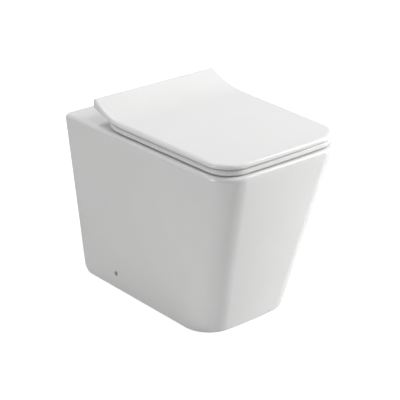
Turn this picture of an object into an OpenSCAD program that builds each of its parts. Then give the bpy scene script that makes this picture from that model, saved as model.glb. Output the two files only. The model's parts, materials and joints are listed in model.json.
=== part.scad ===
// Back-to-wall toilet: a floor-standing china pan with a hinged seat and lid.
// Millimetres. The front faces -Y, +X is to the right and +Z is up.
// The origin is on the floor, in the middle of the pan's length and width.

/* [Pan] */
// Width of the pan across its back edge, at the rim
pan_w = 362; // [340:1:440]
// Width of the pan at the front, where the side and front lines would cross, at the rim
pan_front_w = 331; // [300:1:400]
// Length from the wall to the front of the rim
pan_l = 530; // [500:1:640]
// Height of the rim above the floor
pan_h = 404; // [380:1:490]
// Width of the foot across its back edge
base_w = 283; // [270:1:340]
// Width of the foot at the front, where the side and front lines would cross
base_front_w = 252; // [230:1:300]
// Length of the foot from the wall
base_l = 428; // [410:1:520]
// Plan radius of the two front corners
front_r = 57; // [40:1:70]
// Plan radius of the foot's two front corners
base_front_r = 60; // [35:1:75]
// Rounding of the rim's outer edge
rim_r = 11; // [4:0.5:14]
// Radius that cuts the heel, where the sides meet the floor and the wall
heel_r = 22; // [5:1:40]
// Thickness of the china skirt
skirt_t = 12; // [9:0.5:15]
// Thickness of the china deck and rim
deck_t = 13; // [10:0.5:18]

/* [Bowl and trap] */
// Width of the rim at each side of the bowl
rim_side_w = 47; // [40:1:60]
// Width of the rim in front of the bowl
rim_front_w = 43; // [35:1:60]
// Depth of the deck from the wall to the bowl
deck_l = 183; // [175:1:210]
// Thickness of the bowl's china
bowl_t = 11; // [8:0.5:14]
// Height of the lowest point inside the bowl
sump_h = 62; // [56:1:75]
// Distance of the sump's middle from the wall
sump_back = 310; // [300:1:330]
// Bore of the trap
trap_d = 66; // [56:1:72]
// Height of the weir that holds the water
weir_h = 168; // [160:1:180]
// Distance from the wall at which the trap starts to climb
trap_back = 262; // [258:1:280]
// Height of the middle of the outlet
outlet_h = 180; // [175:1:190]
// Outside diameter of the outlet spigot
outlet_d = 102; // [98:1:110]
// Bore of the outlet spigot
outlet_bore_d = 84; // [76:1:88]
// Length of the outlet spigot
outlet_l = 60; // [45:1:62]
// Distance from the wall to the end of the spigot
outlet_back = 40; // [20:1:45]

/* [Flush inlet] */
// Height of the middle of the flush inlet
inlet_h = 335; // [325:1:345]
// Bore of the china inlet
inlet_d = 55; // [50:1:60]
// Wall of the china inlet
inlet_t = 12; // [8:1:16]
// Distance from the wall to the inlet's mouth
inlet_back = 75; // [40:1:90]
// Diameter of the flush jet into the bowl
jet_d = 36; // [25:1:42]
// Diameter of the flush pipe that the seal takes
pipe_d = 44; // [40:0.5:46]

/* [Seat and lid] */
// Distance of the seat's edge inside the rim's edge
seat_inset = 8; // [5:0.5:14]
// Gap between the rim and the seat
seat_gap = 3; // [1.5:0.25:4]
// Thickness of the seat
seat_t = 11.5; // [10:0.5:16]
// Width of the seat's ring at the sides
seat_side_w = 56; // [48:1:62]
// Width of the seat's ring at the front
seat_front_w = 60; // [50:1:70]
// Distance from the wall to the back of the seat's opening
seat_open_back = 188; // [180:1:220]
// Plan radius of the seat's two back corners
seat_back_r = 68; // [20:1:72]
// Distance of the lid's edge inside the rim's edge
lid_inset = 5; // [3:0.5:10]
// Gap between the seat and the lid
lid_gap = 3; // [1.5:0.25:4]
// Depth of the lid at its edge
lid_t = 10; // [10:0.5:14]
// Thickness of the lid's skin
lid_skin = 4.5; // [3.5:0.25:5]
// Rounding of the lid's top edge
lid_edge_r = 8; // [1:0.5:8]
// Distance from the wall to the lid's back edge
lid_back = 93; // [90:1:96]
// Height that the lid climbs at its back
lid_rise = 32; // [26:0.5:33]
// Length over which the lid climbs
lid_ramp = 107; // [95:1:120]
// Extra depth of the lid's edge at its back corners
lid_back_extra = 13; // [0:0.5:14]

/* [Hinges] */
// Distance between the two hinges
hinge_spacing = 155; // [140:1:165]
// Distance from the wall to the hinge axis
hinge_back = 105; // [103:0.5:107]
// Space between the lid's skin and its hinge ears
ear_drop = 4.25; // [3:0.25:6]
// Distance from the wall to the deck's fixing holes
bolt_back = 135; // [132:1:140]
// Diameter of the deck's fixing holes
deck_hole_d = 14; // [12:0.5:16]
// Diameter of the hinge pins
pin_d = 8; // [6:0.5:9]
// Width of the hinge posts
post_w = 18; // [14:1:20]
// Length of each ear of the seat and the lid
ear_l = 30; // [24:1:34]
// Outside diameter of the dampers and bushes
damper_d = 13; // [12:0.5:14]
// Diameter of the base discs
disc_d = 36; // [30:1:38]
// Diameter of the deck bolts
bolt_d = 8; // [6:1:8]

/* [Floor fixings] */
// Distance from the wall to the side fixing holes
side_fix_back = 123; // [110:1:160]
// Height of the side fixing holes
side_fix_h = 41; // [36:1:60]
// Diameter of the side fixing holes
side_hole_d = 12; // [10:0.5:14]
// Length of each floor bracket
bracket_l = 60; // [50:1:80]
// Diameter of the floor screw holes in the brackets
floor_hole_d = 8; // [6:0.5:10]

/* [Fits] */
// Running clearance round a hinge pin, on the radius
run_fit = 0.05; // [0.02:0.01:0.09]
// Clearance between pieces that are put together, on the radius
seat_fit = 0.1; // [0.05:0.05:0.2]
// Clearance where a piece rests
rest_gap = 0.25; // [0.2:0.05:0.4]

/* [Hidden] */
$fn = 48;

// The rim's rounded edge, as heights and insets, and how far forward it reaches
rim_steps = 5;
rim_edge = [for (i = [0:rim_steps])
    let (a = 90 * i / rim_steps)
    [pan_h - rim_r + rim_r * sin(a), rim_r * (1 - cos(a))]];
function mix(a, b, t) = a + (b - a) * t;
reach = max([for (r = rim_edge) mix(base_l, pan_l, r[0] / pan_h) - r[1]]);

// The heel's rounding, as heights and insets
heel_steps = 6;
heel_edge = [for (i = [0:heel_steps])
    let (a = 90 * i / heel_steps)
    [heel_r * (1 - cos(a)), heel_r * (1 - sin(a))]];
wall_y = reach / 2;
deck_z = pan_h;
seat_z = deck_z + seat_gap;
seat_top = seat_z + seat_t;
lid_z = seat_top + lid_gap;
lid_top = lid_z + lid_t;
hinge_x = hinge_spacing / 2;

// How far the lid has climbed at y, and the share of that climb that the seat makes
climb_end = wall_y - lid_back;
function rise(y) = lid_rise * pow(max(0, y - climb_end + lid_ramp) / lid_ramp, 2.1);
seat_climb = 0.73;

// The hinge axis lies just under the lid's skin
lid_ear_d = damper_d + 6;
seat_ear_d = damper_d + 7;
axis_y = wall_y - hinge_back;
axis_z = lid_top - lid_skin + rise(axis_y) - ear_drop - lid_ear_d / 2;

// Colours
china = "#f4f4f2";
plastic = "#f7f7f6";
chrome = "#c9ccd0";
steel = "#9a9da1";
rubber = "#3b3b3d";
nylon = "#dcdcd8";

// The arc that rounds corner p of the path a-p-b with radius r, in n steps
function unit(v) = v / norm(v);
function fillet(a, p, b, r, n) =
    let (
        u = unit(a - p),
        v = unit(b - p),
        half = acos(u * v) / 2,
        c = p + unit(u + v) * r / sin(half),
        s = p + u * r / tan(half) - c,
        e = p + v * r / tan(half) - c,
        a0 = atan2(s.y, s.x),
        sweep = (atan2(e.y, e.x) - a0 + 900) % 360 - 180
    )
    [for (i = [0:n]) c + r * [cos(a0 + sweep * i / n), sin(a0 + sweep * i / n)]];

// The right half of an outline, from the back edge to the front edge. The side is one straight
// line from back corner b to front corner f, with extra points at the y values in steps.
function half_outline(b, f, back_r, front_r, steps = [], back_n = 3, front_n = 10) =
    concat(
        fillet([0, b.y], b, f, back_r, back_n),
        [for (y = steps) [b.x + (f.x - b.x) * (y - b.y) / (f.y - b.y), y]],
        fillet(b, f, [0, f.y], front_r, front_n)
    );

// A whole outline, anticlockwise from the back left, from its right half
function both(half) =
    concat([for (p = half) [-p.x, p.y]], [for (i = [len(half) - 1:-1:0]) half[i]]);

// A solid skinned over rings of points that run the same way round. A closed one joins its last
// ring to its first, like a tyre, and an open one has ends made of strips from left to right.
module skin(rings, closed = false) {
    n = len(rings[0]);
    m = len(rings);
    sides = [
        for (j = [0:(closed ? m - 1 : m - 2)], i = [0:n - 1])
            let (
                k = (j + 1) % m,
                a = j * n + i,
                b = j * n + (i + 1) % n,
                c = k * n + (i + 1) % n,
                d = k * n + i
            )
            each [[a, d, c], [a, c, b]]
    ];
    ends = closed ? [] : [
        for (i = [0:n / 2 - 2])
            let (
                a = i,
                b = i + 1,
                c = n - 2 - i,
                d = n - 1 - i,
                t = (m - 1) * n
            )
            each [[a, b, c], [a, c, d], [t + a, t + c, t + b], [t + a, t + d, t + c]]
    ];
    polyhedron([for (r = rings) each r], concat(sides, ends), convexity = 6);
}

// The pan's plan at height z, drawn in by side_in at the sides and front and by back_in at the back
function pan_ring(z, side_in, back_in, back_r = 4) =
    let (
        t = z / pan_h,
        back = wall_y - back_in,
        front = wall_y - mix(base_l, pan_l, t) + side_in,
        wb = pan_half(back_in, z) - side_in,
        wf = mix(base_front_w, pan_front_w, t) / 2 - side_in,
        r = mix(base_front_r, front_r, t) - side_in
    )
    [for (p = both(half_outline([wb, back], [wf, front], back_r, r))) [p.x, p.y, z]];

// Half the pan's width at a distance from the wall and a height
function pan_half(back, z) =
    let (t = z / pan_h)
    mix(mix(base_w, pan_w, t), mix(base_front_w, pan_front_w, t), back / mix(base_l, pan_l, t)) / 2;

// Rings between the heel and the rim, which keep the tapered sides alike
pan_mids = 3;
module pan_outside() {
    skin(concat(
        [pan_ring(-1, 0, heel_r)],
        [for (h = heel_edge) pan_ring(h[0], 0, h[1])],
        [for (k = [1:pan_mids]) pan_ring(mix(heel_r, pan_h - rim_r, k / (pan_mids + 1)), 0, 0)],
        [for (r = rim_edge) pan_ring(r[0], r[1], r[1] / 3)]
    ));
}

module pan_hollow() {
    skin([for (k = [0:pan_mids + 1])
        pan_ring(mix(-2, pan_h - deck_t, k / (pan_mids + 1)), skirt_t, -20, 1)]);
}

// The bowl at a share s of its depth, wider by grow
bowl_n = 44;
bowl_square = 0.86;
bowl_half_w = pan_half((pan_l + deck_l) / 2, pan_h) - rim_side_w;
bowl_half_l = (pan_l - deck_l - rim_front_w) / 2;
bowl_mid = deck_l + bowl_half_l;
function bowl_swell(s) = pow(1 - pow(1 - s, 1.35), 0.6);
function bowl_ring(s, grow) =
    let (
        w = bowl_half_w * bowl_swell(s) + grow,
        l = bowl_half_l * bowl_swell(s) + grow,
        y = wall_y - mix(sump_back, bowl_mid, pow(s, 0.8)),
        z = mix(sump_h, pan_h, s) - grow * (1 - s)
    )
    [for (i = [0:bowl_n - 1])
        let (a = 90 + (i + 0.5) * 360 / bowl_n, c = cos(a), q = sin(a))
        [w * sign(c) * pow(abs(c), bowl_square), y + l * sign(q) * pow(abs(q), bowl_square), z]];

bowl_steps = [0.002, 0.01, 0.03, 0.06, 0.11, 0.18, 0.27, 0.38, 0.5, 0.64, 0.78, 0.9];
lip_r = 6;
lip_s = 1 - lip_r / (pan_h - sump_h);
module bowl_inside() {
    lip = [for (i = [0:3])
        let (a = 90 * i / 3, grow = lip_r * (1 - cos(a)))
        [for (p = bowl_ring(lip_s, 0)) wider(p, grow, lip_r * sin(a))]];
    above = [for (p = lip[3]) p + [0, 0, 5]];
    skin(concat([for (s = bowl_steps) bowl_ring(s, 0)], lip, [above]));
}
// A point of the bowl moved out from the bowl's middle by d, and up
function wider(p, d, up) =
    let (mid = [0, wall_y - bowl_mid], v = [p.x, p.y] - mid)
    [p.x + d * v.x / norm(v), p.y + d * v.y / norm(v), p.z + up];
module bowl_outside() {
    skin([for (s = concat(bowl_steps, [0.97])) bowl_ring(s, bowl_t)]);
}

// The trap's middle line: out of the sump, up to the weir, and down to the outlet
climb = 65;
dip_r = 58;
weir_r = 40;
fall_r = 70;
trap_n = 24;
trap_reach = 35;
spigot_lap = 12;
flare_n = 4;
trap_z = sump_h + trap_d / 2 + 2;
dip_y = wall_y - trap_back;
dip_end = [dip_y + dip_r * sin(climb), trap_z + dip_r * (1 - cos(climb))];
weir_z = weir_h + trap_d / 2 - weir_r;
weir_start_z = weir_z + weir_r * cos(climb);
weir_y = dip_end[0] + (weir_start_z - dip_end[1]) / tan(climb) + weir_r * sin(climb);
fall = acos((outlet_h - weir_z + fall_r) / (weir_r + fall_r));
fall_y = weir_y + (weir_r + fall_r) * sin(fall);
fall_z = outlet_h + fall_r;
trap_line = concat(
    [[dip_y - trap_reach, trap_z, 0]],
    [for (i = [0:4]) let (b = climb * i / 4) [dip_y + dip_r * sin(b), trap_z + dip_r * (1 - cos(b)), b]],
    [for (i = [0:6])
        let (b = climb - (climb + fall) * i / 6)
        [weir_y - weir_r * sin(b), weir_z + weir_r * cos(b), b]],
    [for (i = [1:3]) let (b = -fall * (1 - i / 3)) [fall_y + fall_r * sin(b), fall_z - fall_r * cos(b), b]],
    [[max(fall_y + 4, wall_y - outlet_back - outlet_l + spigot_lap), outlet_h, 0]]
);
// The trap's bore, or with grow its outside; it widens to the spigot over its last rings. The
// bore runs a little past the outside at both ends.
module trap(grow) {
    last = len(trap_line) - 1;
    past = grow > 0 ? 0 : 1;
    end_r = (grow > 0 ? outlet_d : outlet_bore_d) / 2 - 1;
    skin([for (j = [0:last])
        let (p = trap_line[j], r = mix(trap_d / 2 + grow, end_r, max(0, j - last + flare_n) / flare_n))
        [for (i = [0:trap_n - 1])
            let (a = 90 + (i + 0.5) * 360 / trap_n, y = p[0] + past * (j == last ? 1 : j == 0 ? -1 : 0))
            [r * cos(a), y + r * sin(a) * sin(p[2]), p[1] - r * sin(a) * cos(p[2])]]]);
}

// A cylinder along Y that ends at distance back from the wall, and one along X
module rod_y(d, l, back, z) {
    translate([0, wall_y - back - l, z]) rotate([-90, 0, 0]) cylinder(d = d, h = l);
}
module rod_x(d, l, x, y, z) {
    translate([x, y, z]) rotate([0, 90, 0]) cylinder(d = d, h = l);
}

inlet_l = deck_l - inlet_back + 6;
inlet_socket_l = 66;
jet_reach = 30;
module pan() {
    color(china) difference() {
        union() {
            resize([0, 0, 0]) difference() {
                pan_outside();
                difference() {
                    pan_hollow();
                    bowl_outside();
                    trap(bowl_t);
                    rod_y(inlet_d + 2 * inlet_t, inlet_l, inlet_back, inlet_h, $fn = 32);
                }
                bowl_inside();
                trap(0);
            }
            rod_y(outlet_d, outlet_l, outlet_back, outlet_h);
        }
        rod_y(outlet_bore_d, outlet_l + 2, outlet_back - 1, outlet_h);
        rod_y(inlet_d, inlet_socket_l, inlet_back - 1, inlet_h);
        rod_y(jet_d, inlet_l + jet_reach, inlet_back - 1, inlet_h);
        for (side = [-1, 1]) {
            translate([side * hinge_x, wall_y - bolt_back, deck_z - deck_t - 5])
                cylinder(d = deck_hole_d, h = deck_t + 10);
            rod_x(side_hole_d, 3 * skirt_t, side * side_fix_x - 1.5 * skirt_t, side_fix_y, side_fix_h);
        }
        translate([-pan_w, -pan_l, -10]) cube([2 * pan_w, 2 * pan_l, 10]);
    }
}
seal_l = 34;
seal_flange_t = 3;
module inlet_seal() {
    color(rubber) difference() {
        union() {
            rod_y(inlet_d - 2 * seat_fit, seal_l, inlet_back, inlet_h);
            rod_y(inlet_d + inlet_t, seal_flange_t, inlet_back - seal_flange_t, inlet_h);
        }
        rod_y(pipe_d, seal_l + seal_flange_t + 2, inlet_back - seal_flange_t - 1, inlet_h);
    }
}

ramp_steps = [for (i = [0:8]) climb_end - lid_ramp * (0.22 + 0.78 * i / 8)];

// The lid's plan, drawn in by d, at height h above its lower edge. Its back is narrower and deeper.
lid_narrow = 0.035;
lid_back_r = 3;
function lid_ring(d, h, deep = 1) =
    let (
        half = half_outline(
            [pan_half(lid_back, pan_h) - lid_inset - d, climb_end - d],
            [pan_front_w / 2 - lid_inset - d, wall_y - pan_l + lid_inset + d],
            max(lid_back_r - d, 1), front_r - lid_inset - d, ramp_steps)
    )
    [for (p = both(half))
        let (s = rise(p.y) / lid_rise)
        [p.x * (1 - lid_narrow * s), p.y, lid_z + h + rise(p.y) - deep * lid_back_extra * pow(s, 1.3)]];

low_r = 1.5;
lid_edge_n = 5;
module lid_outside() {
    skin(concat(
        [lid_ring(low_r, 0), lid_ring(0, low_r)],
        [for (i = [0:lid_edge_n]) let (a = 90 * i / lid_edge_n)
            lid_ring(lid_edge_r * (1 - cos(a)), lid_t - lid_edge_r * (1 - sin(a)), 0)]
    ));
}
module lid_hollow() {
    wall = lid_skin + 1;
    inside = lid_t - lid_skin;
    skin([lid_ring(wall, -4), lid_ring(wall, inside - low_r, 0), lid_ring(wall + low_r, inside, 0)]);
}

// Where the ears of the lid and the seat lie along the axis
thrust_t = 1.5;
ear_gap = 0.5;
lid_ear_x = hinge_x - post_w / 2 - ear_gap - thrust_t - ear_l;
seat_ear_x = hinge_x + post_w / 2 + ear_gap + thrust_t;
ear_cap = 3;
ear_web = 13;
bay_back = 6;
bay_h = 18.5;
bay_side = 3;

module both_sides() {
    children();
    mirror([1, 0, 0]) children();
}
module lid() {
    bay_x = lid_ear_x + ear_l;
    bay_w = max(seat_ear_x + ear_l, seat_back_end) + bay_side - bay_x;
    color(plastic) difference() {
        resize([0, 0, 0]) difference() {
            union() {
                difference() {
                    lid_outside();
                    difference() {
                        lid_hollow();
                        both_sides() translate([lid_ear_x, axis_y - lid_ear_d / 2, axis_z])
                            cube([ear_l, lid_ear_d / 2 + ear_web, 40]);
                    }
                }
                both_sides() rod_x(lid_ear_d, ear_l, lid_ear_x, axis_y, axis_z, $fn = 32);
            }
            // Bays in the back wall for the posts and the seat's ears
            both_sides() translate([bay_x, axis_y + bay_back, axis_z - 20]) cube([bay_w, 30, 20 + bay_h]);
        }
        both_sides() rod_x(damper_d, ear_l, lid_ear_x + ear_cap, axis_y, axis_z);
    }
}

// Places of the lid's buffers, as distances from the middle and from the wall
side_pad_back = 232;
front_pad_back = pan_l - seat_inset - seat_front_w / 2;
lid_pads = [
    [pan_half(side_pad_back, pan_h) - seat_inset - seat_side_w / 2, side_pad_back],
    [pan_front_w / 2 - seat_inset - front_r, front_pad_back]
];
lid_pad_d = 10;
module lid_buffers() {
    color(rubber) both_sides() for (p = lid_pads)
        translate([p[0], wall_y - p[1], seat_top + rest_gap])
            cylinder(d = lid_pad_d, h = lid_top - lid_skin - seat_top - rest_gap);
}

// The seat's outline, drawn in by d from its outer edge, and its opening, widened by d
seat_back = hinge_back - 1;
// Where the back edge has turned far enough round the corner to clear the open lid
seat_back_end = pan_half(seat_back, pan_h) - seat_inset - 0.76 * seat_back_r;
seat_steps = [for (i = [0:5]) wall_y - seat_back - seat_back_r - 3 - i * 12];
function seat_outer(d) = half_outline(
    [pan_half(seat_back, pan_h) - seat_inset - d, wall_y - seat_back - d],
    [pan_front_w / 2 - seat_inset - d, wall_y - pan_l + seat_inset + d],
    seat_back_r - d, front_r - seat_inset - d, seat_steps, 7, 10);
opening_half_l = (pan_l - seat_inset - seat_front_w - seat_open_back) / 2;
opening_half_w = pan_half(seat_open_back + opening_half_l, pan_h) - seat_inset - seat_side_w;
seat_n = len(seat_outer(0));
function seat_opening(d) =
    [for (i = [0:seat_n - 1])
        let (a = 90 - (i + 0.5) * 180 / seat_n, c = cos(a), q = sin(a))
        [(opening_half_w + d) * pow(c, 0.8),
         wall_y - seat_open_back - opening_half_l + (opening_half_l + d) * sign(q) * pow(abs(q), 0.8)]];
function seat_ring(half, h) =
    [for (p = both(half)) [p.x, p.y, seat_z + h + seat_climb * rise(p.y)]];
function between(a, b, t) = [for (i = [0:len(a) - 1]) mix(a[i], b[i], t)];

seat_edge_r = 4.5;
seat_low_r = 3;
seat_comfort = 10;
module seat_board() {
    top_out = seat_outer(seat_edge_r);
    top_in = seat_opening(seat_comfort);
    low_out = seat_outer(seat_low_r);
    low_in = seat_opening(low_r);
    skin(concat(
        [for (i = [0:2]) let (a = 45 * i)
            seat_ring(seat_outer(seat_low_r * (1 - sin(a))), seat_low_r * (1 - cos(a)))],
        [for (i = [0:2]) let (a = 30 * i)
            seat_ring(seat_outer(seat_edge_r * (1 - cos(a))), seat_t - seat_edge_r * (1 - sin(a)))],
        [for (t = [0, 0.25, 0.5, 0.75]) seat_ring(between(top_out, top_in, t), seat_t)],
        [seat_ring(top_in, seat_t - 0.3), seat_ring(seat_opening(3), seat_t - 2.5)],
        [seat_ring(seat_opening(0), seat_t - 6), seat_ring(seat_opening(0), low_r), seat_ring(low_in, 0)],
        [for (t = [0.25, 0.5, 0.75]) seat_ring(between(low_in, low_out, t), 0)]
    ), closed = true);
}
notch_gap = 1.5;
notch_front = 13;
middle_gap = 5;
module seat() {
    notch_x = hinge_x - post_w / 2 - notch_gap;
    notch_w = seat_ear_x - notch_x;
    color(plastic) difference() {
        resize([0, 0, 0]) union() {
            difference() {
                seat_board();
                // The middle clears the lid's ears, and a slot clears each post
                translate([-notch_x - 1, axis_y - lid_ear_d / 2 - middle_gap, seat_z - 5])
                    cube([2 * notch_x + 2, 60, 80]);
                both_sides() translate([notch_x, wall_y - bolt_back - notch_front, seat_z - 5])
                    cube([notch_w, 60, 80]);
            }
            both_sides() rod_x(seat_ear_d, ear_l, seat_ear_x, axis_y, axis_z, $fn = 32);
        }
        both_sides() rod_x(damper_d, ear_l - ear_cap + 1, seat_ear_x - 1, axis_y, axis_z);
    }
}

seat_pad_backs = [deck_l + 52, pan_l - rim_front_w - 47];
seat_pad_d = 14;
module seat_buffers() {
    color(rubber) both_sides() for (back = seat_pad_backs)
        translate([pan_half(back, pan_h) - (rim_side_w + rim_r) / 2, wall_y - back, deck_z + rest_gap])
            cylinder(d = seat_pad_d, h = seat_gap - rest_gap);
}

disc_t = 3;
post_d = bolt_d + 8;
post_head_d = pin_d + 9;
post_shoulder = 20;
post_top = 27;
bolt_in = 18;
module hinge_base() {
    color(chrome) translate([hinge_x, wall_y - bolt_back, deck_z]) difference() {
        cylinder(d = disc_d, h = disc_t);
        translate([0, 0, -1]) cylinder(d = bolt_d + 2 * seat_fit, h = disc_t + 2);
    }
}
module hinge_post() {
    x0 = hinge_x - post_w / 2;
    color(chrome) difference() {
        union() {
            translate([hinge_x, wall_y - bolt_back, deck_z + disc_t])
                cylinder(d = post_d, h = post_top - disc_t);
            hull() {
                translate([hinge_x, wall_y - bolt_back, deck_z + post_shoulder])
                    cylinder(d = post_d, h = post_top - post_shoulder, $fn = 32);
                rod_x(post_head_d, post_w, x0, axis_y, axis_z, $fn = 32);
            }
        }
        rod_x(pin_d + 2 * seat_fit, post_w + 2, x0 - 1, axis_y, axis_z);
        translate([hinge_x, wall_y - bolt_back, deck_z]) cylinder(d = bolt_d + 2 * seat_fit, h = bolt_in);
    }
}
pin_end = 2;
module hinge_pin() {
    x0 = lid_ear_x + ear_cap + pin_end;
    x1 = seat_ear_x + ear_l - ear_cap - pin_end;
    color(steel) rod_x(pin_d, x1 - x0, x0, axis_y, axis_z);
}

// The cartridge in an ear: x is where its flange meets the ear, and it points along dir
flange_d = damper_d + 4;
module cartridge(x, dir) {
    l = ear_l - ear_cap - 0.5;
    difference() {
        union() {
            rod_x(damper_d - 2 * seat_fit, l, dir > 0 ? x : x - l, axis_y, axis_z);
            rod_x(flange_d, thrust_t, dir > 0 ? x - thrust_t : x, axis_y, axis_z);
        }
        rod_x(pin_d + 2 * run_fit, l + 10, dir > 0 ? x - 5 : x - l - 5, axis_y, axis_z);
    }
}
module seat_cartridge() {
    cartridge(seat_ear_x, 1);
}
module lid_cartridge() {
    cartridge(lid_ear_x + ear_l, -1);
}
module seat_damper() {
    color(nylon) seat_cartridge();
}
module seat_bush() {
    color(nylon) mirror([1, 0, 0]) seat_cartridge();
}
module lid_damper() {
    color(nylon) mirror([1, 0, 0]) lid_cartridge();
}
module lid_bush() {
    color(nylon) lid_cartridge();
}

bolt_drop = 48;
sleeve_l = 32;
nut_h = 12;
module deck_bolt() {
    color(steel) translate([hinge_x, wall_y - bolt_back, deck_z - bolt_drop])
        cylinder(d = bolt_d, h = bolt_drop + bolt_in - 1);
}
module deck_sleeve() {
    bulge = deck_hole_d / 2 + 4;
    r0 = bolt_d / 2 + seat_fit;
    r1 = deck_hole_d / 2 - seat_fit;
    color(rubber) translate([hinge_x, wall_y - bolt_back, deck_z - sleeve_l]) rotate_extrude()
        polygon([
            [r0, 0], [r1, 0], [bulge, 6], [bulge, 11],
            [r1, sleeve_l - deck_t - 1], [r1, sleeve_l], [r0, sleeve_l]
        ]);
}
module deck_nut() {
    color(steel) translate([hinge_x, wall_y - bolt_back, deck_z - sleeve_l - nut_h]) difference() {
        cylinder(d1 = deck_hole_d + 1, d2 = deck_hole_d - 1, h = nut_h);
        translate([0, 0, -1]) cylinder(d = bolt_d + 2 * seat_fit, h = nut_h + 2);
    }
}

side_fix_y = wall_y - side_fix_back;
side_face_x = pan_half(side_fix_back, side_fix_h);
side_fix_x = side_face_x - skirt_t / 2;
screw_d = 6;
screw_head_d = 10;
screw_head_t = 3;
screw_sunk = 2.5;
screw_l = 30;
sleeve_sunk = 0.8;
socket_w = 5;
socket_deep = 1.8;
bracket_t = 6;
bracket_foot = 45;
bracket_hole_in = 16;
bracket_h = side_fix_h + 18;
bracket_face = pan_half(side_fix_back + bracket_l / 2, 0) - skirt_t - 1;
boss_d = 20;
boss_gap = 1.5;
boss_l = pan_half(side_fix_back + boss_d / 2, side_fix_h - boss_d / 2) - skirt_t - boss_gap - bracket_face;
rib_t = 5;
rib_in = 8;
module floor_bracket() {
    x0 = bracket_face - bracket_foot;
    color(nylon) difference() {
        union() {
            translate([x0, side_fix_y - bracket_l / 2, 0]) cube([bracket_foot, bracket_l, bracket_t]);
            translate([bracket_face - bracket_t, side_fix_y - bracket_l / 2, 0])
                cube([bracket_t, bracket_l, bracket_h]);
            for (end = [-1, 1])
                translate([0, side_fix_y + end * (bracket_l - rib_t) / 2 + rib_t / 2, 0]) rotate([90, 0, 0])
                    linear_extrude(rib_t)
                        polygon([[x0 + rib_in, 0], [bracket_face, 0], [bracket_face, bracket_h]]);
            rod_x(boss_d, boss_l, bracket_face, side_fix_y, side_fix_h);
        }
        rod_x(screw_d + 2 * seat_fit, 40, bracket_face - 30, side_fix_y, side_fix_h);
        translate([x0 + bracket_hole_in, side_fix_y, -1]) cylinder(d = floor_hole_d, h = bracket_t + 2);
    }
}
module side_sleeve() {
    x1 = side_face_x - sleeve_sunk;
    l = skirt_t - sleeve_sunk - 0.4;
    head_back = x1 - screw_sunk - screw_head_t;
    color(nylon) difference() {
        rod_x(side_hole_d - 2 * seat_fit, l, x1 - l, side_fix_y, side_fix_h);
        rod_x(screw_d + 2 * seat_fit, l + 2, x1 - l - 1, side_fix_y, side_fix_h);
        rod_x(screw_head_d + 2 * seat_fit, x1 + 1 - head_back, head_back, side_fix_y, side_fix_h);
    }
}
module side_screw() {
    x1 = side_face_x - sleeve_sunk - screw_sunk;
    color(steel) difference() {
        union() {
            rod_x(screw_d, screw_l, x1 - screw_head_t - screw_l, side_fix_y, side_fix_h);
            rod_x(screw_head_d, screw_head_t, x1 - screw_head_t, side_fix_y, side_fix_h);
        }
        rod_x(socket_w, socket_deep + 1, x1 - socket_deep, side_fix_y, side_fix_h, $fn = 6);
    }
}

module left() {
    mirror([1, 0, 0]) children();
}

pan();
inlet_seal();
seat();
seat_buffers();
lid();
lid_buffers();
left() hinge_base();  // hinge_base_left
hinge_base();  // hinge_base_right
left() hinge_post();  // hinge_post_left
hinge_post();  // hinge_post_right
left() hinge_pin();  // hinge_pin_left
hinge_pin();  // hinge_pin_right
seat_damper();
seat_bush();
lid_damper();
lid_bush();
left() deck_bolt();  // deck_bolt_left
deck_bolt();  // deck_bolt_right
left() deck_sleeve();  // deck_sleeve_left
deck_sleeve();  // deck_sleeve_right
left() deck_nut();  // deck_nut_left
deck_nut();  // deck_nut_right
left() floor_bracket();  // floor_bracket_left
floor_bracket();  // floor_bracket_right
left() side_sleeve();  // side_sleeve_left
side_sleeve();  // side_sleeve_right
left() side_screw();  // side_screw_left
side_screw();  // side_screw_right
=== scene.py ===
"""A back-to-wall toilet: a floor-standing china pan with a slim hinged seat and lid.

The shape functions work in millimetres, in the frame's own axes, and meshes are made in metres.
The front faces -Y, +X is to the right and +Z is up.
"""
import json
import math

import bmesh
import bpy
import numpy as np
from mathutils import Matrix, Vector


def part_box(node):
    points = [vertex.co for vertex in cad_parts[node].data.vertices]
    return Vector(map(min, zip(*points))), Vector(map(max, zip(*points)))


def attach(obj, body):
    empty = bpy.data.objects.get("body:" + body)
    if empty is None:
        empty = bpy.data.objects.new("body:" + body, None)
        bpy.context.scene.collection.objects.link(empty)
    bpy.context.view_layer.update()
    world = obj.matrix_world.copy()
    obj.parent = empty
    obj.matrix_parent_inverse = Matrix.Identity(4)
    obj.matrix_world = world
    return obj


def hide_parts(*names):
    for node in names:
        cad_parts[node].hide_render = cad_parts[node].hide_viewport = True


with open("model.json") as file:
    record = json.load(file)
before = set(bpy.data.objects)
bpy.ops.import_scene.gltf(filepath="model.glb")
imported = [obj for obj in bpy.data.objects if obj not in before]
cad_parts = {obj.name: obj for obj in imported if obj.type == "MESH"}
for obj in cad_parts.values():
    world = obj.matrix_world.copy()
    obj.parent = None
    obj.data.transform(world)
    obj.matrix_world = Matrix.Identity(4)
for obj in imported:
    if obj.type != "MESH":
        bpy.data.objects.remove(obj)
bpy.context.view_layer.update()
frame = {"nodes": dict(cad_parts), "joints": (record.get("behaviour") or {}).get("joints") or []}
nodes = frame["nodes"]
MM = 0.001

# Camera, as fitted to the photograph's edges
CAM_AZIMUTH = math.radians(-39.74)
CAM_ELEVATION = math.radians(24.29)
CAM_DISTANCE = 2.86645
CAM_TARGET = Vector((0.00195, 0.0151, 0.22632))
CAM_LENS = 116.627
CAM_SENSOR = 36

# Pan: width at the wall, width at the front and length, at the rim and at the foot
WALL_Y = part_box("pan")[1].y / MM
RIM_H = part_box("pan")[1].z / MM
PAN_W, PAN_FRONT_W, PAN_L = 362, 332.5, 530
BASE_W, BASE_FRONT_W, BASE_L = 283.5, 258.5, 428

# The pan's front corners and bow, at the rim and at the foot, and how far back the bow reaches
FRONT_R, BASE_FRONT_R = 63, 63
FRONT_BOW, BASE_BOW = 4, 9
BOW_REACH = 150

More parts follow.
